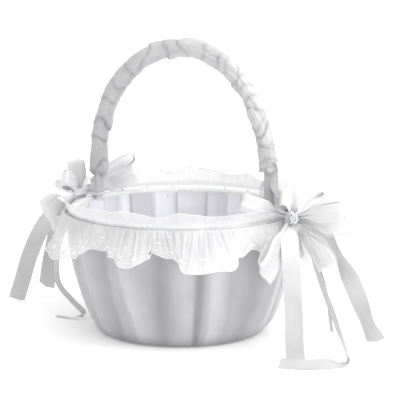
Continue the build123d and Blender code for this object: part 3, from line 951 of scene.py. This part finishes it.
for side in SIDES:
    for loop in ORGANZA_LOOPS[side]:
        loop_piece(side, loop, ORGANZA, "organza", creases=4, wave=1.5)
    for loop in SATIN_LOOPS[side]:
        made = loop_piece(side, loop, RIBBON, "satin", creases=2)
        if loop[0] == "narrow_loop":
            narrow[side].append(made)

TO_FRONT = (0.84, 0.54, 0)  # the side direction of a ribbon whose face is to the front
TO_END = (0.8, -0.4, 0)  # and of one whose face is to the basket's end

# Each tail: label, width, slant of the cut, and (point, side direction) pairs from the knot down.
TAILS = {
    "right": [
        ("satin_tail_1", 15, 0.0, [
            (near("right", 2, -4, -4), (0.5, 0.8, 0)),
            ((115, -14, 96), (0.7, 0.7, 0)),
            ((124, -26, 70), TO_FRONT),
            ((132, -36, 36), TO_FRONT),
            ((137, -43, 10), TO_FRONT),
            ((141, -47, 0.8), TO_FRONT),
        ]),
        ("satin_tail_2", 12, 0.0, [
            (near("right", 5, -1, -4), (0.3, 0.9, 0)),
            ((125, -6, 92), (0.5, -0.8, 0)),
            ((143, -12, 62), (0.75, -0.6, 0)),
            ((163, -20, 28), (0.75, -0.6, 0)),
            ((178, -30, 3), (0.5, -0.85, 0.2)),
            ((168, -49, 3.2), (0.4, -0.8, -0.45)),
            ((153, -60, 3.0), (0.4, -0.8, -0.45)),
            ((136, -66, 3.0), (0.4, -0.8, -0.45)),
        ]),
        ("satin_tail_3", 15, 0.7, [
            (near("right", 5, 3, -3), (0, 0.3, 0.9)),
            ((125, 14, 98), (0.3, 0.5, 0.8)),
            ((139, 24, 78), (0.6, -0.5, 0.4)),
            ((153, 30, 48), (0.5, 0.3, 0.1)),
            ((163, 34, 20), (0.55, -0.1, 0.1)),
            ((172, 36, 2.5), (0.6, 0.3, 0)),
        ]),
        ("narrow_tail", 5, 0.0, [
            (near("right", 2, 4, -5), TO_END),
            ((116, 16, 92), TO_END),
            ((121, 28, 62), TO_END),
            ((123, 40, 30), TO_END),
            ((122, 50, 1.0), TO_END),
        ]),
    ],
    "left": [
        ("satin_tail_1", 15, 0.0, [
            (near("left", -5, 0, -4), (0.2, 1, 0)),
            ((-130, 0, 96), (0.6, 0.7, 0)),
            ((-150, 0, 76), TO_FRONT),
            ((-166, 0, 48), TO_FRONT),
            ((-176, 0, 22), TO_FRONT),
            ((-184, 0, 1.2), TO_FRONT),
        ]),
        ("satin_tail_2", 15, 0.7, [
            (near("left", -4, 3, -5), (0.6, 0.8, 0)),
            ((-132, 12, 90), (0.7, 0.6, 0)),
            ((-154, 24, 64), TO_FRONT),
            ((-168, 32, 34), TO_FRONT),
            ((-178, 38, 6), TO_FRONT),
        ]),
        ("satin_tail_3", 15, 0.5, [
            (near("left", -2, 5, -6), TO_END),
            ((-118, 22, 90), TO_END),
            ((-128, 42, 60), TO_END),
            ((-134, 56, 28), TO_END),
            ((-138, 63, 1.5), TO_END),
        ]),
        ("narrow_tail", 5, 0.0, [
            (near("left", -2, -4, -6), TO_FRONT),
            ((-118, -14, 84), TO_FRONT),
            ((-120, -20, 56), TO_FRONT),
            ((-118, -22, 30), TO_FRONT),
            ((-104, -20, 14), (0.5, 0.3, 0.6)),
            ((-88, -24, 5), (0.5, 0.3, 0.6)),
            ((-97, -29, 1.5), (0.2, -0.9, 0.2)),
            ((-114, -31, 0.9), (0.2, -0.9, 0)),
        ]),
    ],
}
for side in SIDES:
    for label, width, slant, path in reversed(TAILS[side]):
        extras = narrow[side] if label == "satin_tail_1" else ()
        made = tail_piece(side, label, width * mm, slant, path, extras)
        if label == "narrow_tail":
            narrow[side].append(made)


# ---- brooches -----------------------------------------------------------------------------------
STONE_R = 1.35 * mm
STONE_RING = 2.75 * mm  # six stones stand this far round the middle one
STONE_SUNK = 0.2 * mm  # into their setting


def gem(centre, aim, radius, points, faces, uvs):
    """A cut stone: table, crown and girdle, standing on its setting."""
    aim = aim.normalized()
    side = aim.orthogonal().normalized()
    over = aim.cross(side)
    first = len(points)
    rings = ((0.55, 0.75), (0.92, 0.30), (1.0, 0.05), (0.9, -0.35))
    for ring, (wide, rise) in enumerate(rings):
        for step in range(8):
            turn = tau * (step + 0.5 * (ring % 2)) / 8
            round_it = side * cos(turn) + over * sin(turn)
            points.append(centre + round_it * radius * wide + aim * radius * rise)
            uvs.append((step / 8, ring / 4))
    for ring in range(3):
        for step in range(8):
            after = (step + 1) % 8
            a, b = first + ring * 8, first + ring * 8 + 8
            faces.append((a + step, a + after, b + after, b + step))
    faces.append(tuple(first + step for step in range(8)))


def brooch_piece(side):
    """A rosette of seven stones, facing the way that the CAD brooch does."""
    plate = middle(f"{side}_bow_brooch_plate")
    stones = middle(f"{side}_bow_rhinestones")
    aim = (stones - plate).normalized()
    u = aim.orthogonal().normalized()
    w = aim.cross(u)
    points, faces, uvs = [], [], []
    spots = [(0, 0)] + [(cos(tau * step / 6), sin(tau * step / 6)) for step in range(6)]
    for x, y in spots:
        middle_at = stones + (u * x + w * y) * STONE_RING - aim * STONE_SUNK
        gem(middle_at, aim, STONE_R, points, faces, uvs)
    made = mesh_object(f"{side}_brooch_stones", points, faces, uvs, CRYSTAL)
    made.data.polygons.foreach_set("use_smooth", [False] * len(made.data.polygons))
    place(made, "rhinestone", f"{side}_bow_rhinestones")


for side in SIDES:
    brooch_piece(side)

# ---- CAD nodes that stay, with their own materials ----------------------------------------------
for name, material in (
    ("basket_shell", MOULDED),
    ("handle_core", MOULDED),
    ("floor_board", CARD),
    ("underside_disc", SATIN),
    ("rim_wire", SILVER),
    ("handle_rivets_left", SILVER),
    ("handle_rivets_right", SILVER),
    ("rim_pearls", PEARL),
    ("left_bow_tie", RIBBON),
    ("right_bow_tie", RIBBON),
    ("left_bow_brooch_plate", SILVER),
    ("right_bow_brooch_plate", SILVER),
):
    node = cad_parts[name]
    node.data.materials.clear()
    node.data.materials.append(material)

# ---- stage --------------------------------------------------------------------------------------
floor_mesh = bpy.data.meshes.new("floor")
FLOOR_HALF = 9
corners = [(x * FLOOR_HALF, y * FLOOR_HALF, 0) for x, y in ((-1, -1), (1, -1), (1, 1), (-1, 1))]
floor_mesh.from_pydata(corners, [], [(0, 1, 2, 3)])
floor = bpy.data.objects.new("floor", floor_mesh)
bpy.context.collection.objects.link(floor)
paper = plain("white_paper", (0.95, 0.95, 0.95), 0.95, grain=3)
shine = paper.node_tree.nodes["Principled BSDF"]
shine.inputs["Specular IOR Level"].default_value = 0.0
shine.inputs["Emission Color"].default_value = (1, 1, 1, 1)
shine.inputs["Emission Strength"].default_value = 0.20
floor_mesh.materials.append(paper)
floor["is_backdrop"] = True


def sky(tilt, low, rise):
    """A soft white dome: brightness low at the horizon, and brighter toward the tilt direction."""
    world = bpy.data.worlds.new("studio")
    bpy.context.scene.world = world
    world.use_nodes = True
    nodes, links = world.node_tree.nodes, world.node_tree.links
    back = nodes["Background"]
    back.inputs["Color"].default_value = (1, 1, 1, 1)
    where = nodes.new("ShaderNodeTexCoord")
    toward = nodes.new("ShaderNodeVectorMath")
    toward.operation = "DOT_PRODUCT"
    toward.inputs[1].default_value = Vector(tilt).normalized()
    links.new(where.outputs["Generated"], toward.inputs[0])
    shade = nodes.new("ShaderNodeMapRange")
    shade.inputs["From Min"].default_value = 0
    shade.inputs["From Max"].default_value = 1
    shade.inputs["To Min"].default_value = low
    shade.inputs["To Max"].default_value = low + rise
    links.new(toward.outputs["Value"], shade.inputs["Value"])
    links.new(shade.outputs["Result"], back.inputs["Strength"])


sky(tilt=(0.34, 0.15, 1.0), low=0.46, rise=1.32)


def softbox(name, azimuth, elevation, distance, size, power):
    """A square area light aimed at the middle of the basket."""
    light = bpy.data.lights.new(name, "AREA")
    light.size = size
    light.energy = power
    lamp = bpy.data.objects.new(name, light)
    bpy.context.collection.objects.link(lamp)
    a, e = radians(azimuth), radians(elevation)
    target = Vector((0, 0, 0.1))
    lamp.location = target + distance * Vector((cos(e) * cos(a), cos(e) * sin(a), sin(e)))
    lamp.rotation_euler = (target - lamp.location).to_track_quat("-Z", "Y").to_euler()


softbox("key", azimuth=2, elevation=36, distance=0.85, size=0.5, power=1.9)

# ---- camera -------------------------------------------------------------------------------------
VIEW_AZIMUTH, VIEW_DISTANCE, VIEW_HEIGHT = radians(33), 1.4, 0.361
VIEW_TURN, VIEW_PITCH, VIEW_LENS = radians(32.34), radians(-10.06), 148
camera = bpy.data.objects.new("camera", bpy.data.cameras.new("camera"))
bpy.context.collection.objects.link(camera)
camera.location = (VIEW_DISTANCE * sin(VIEW_AZIMUTH), -VIEW_DISTANCE * cos(VIEW_AZIMUTH), VIEW_HEIGHT)
camera.rotation_euler = (pi / 2 + VIEW_PITCH, 0, VIEW_TURN)
camera.data.lens = VIEW_LENS
camera.data.clip_end = 50
bpy.context.scene.camera = camera
bpy.context.scene.view_settings.view_transform = "Standard"

bpy.context.view_layer.update()
seen_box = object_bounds()
flat_box = lambda box: [[float(c) for c in corner] for corner in box]
{"cad": flat_box(cad_box), "visual": flat_box(seen_box)}
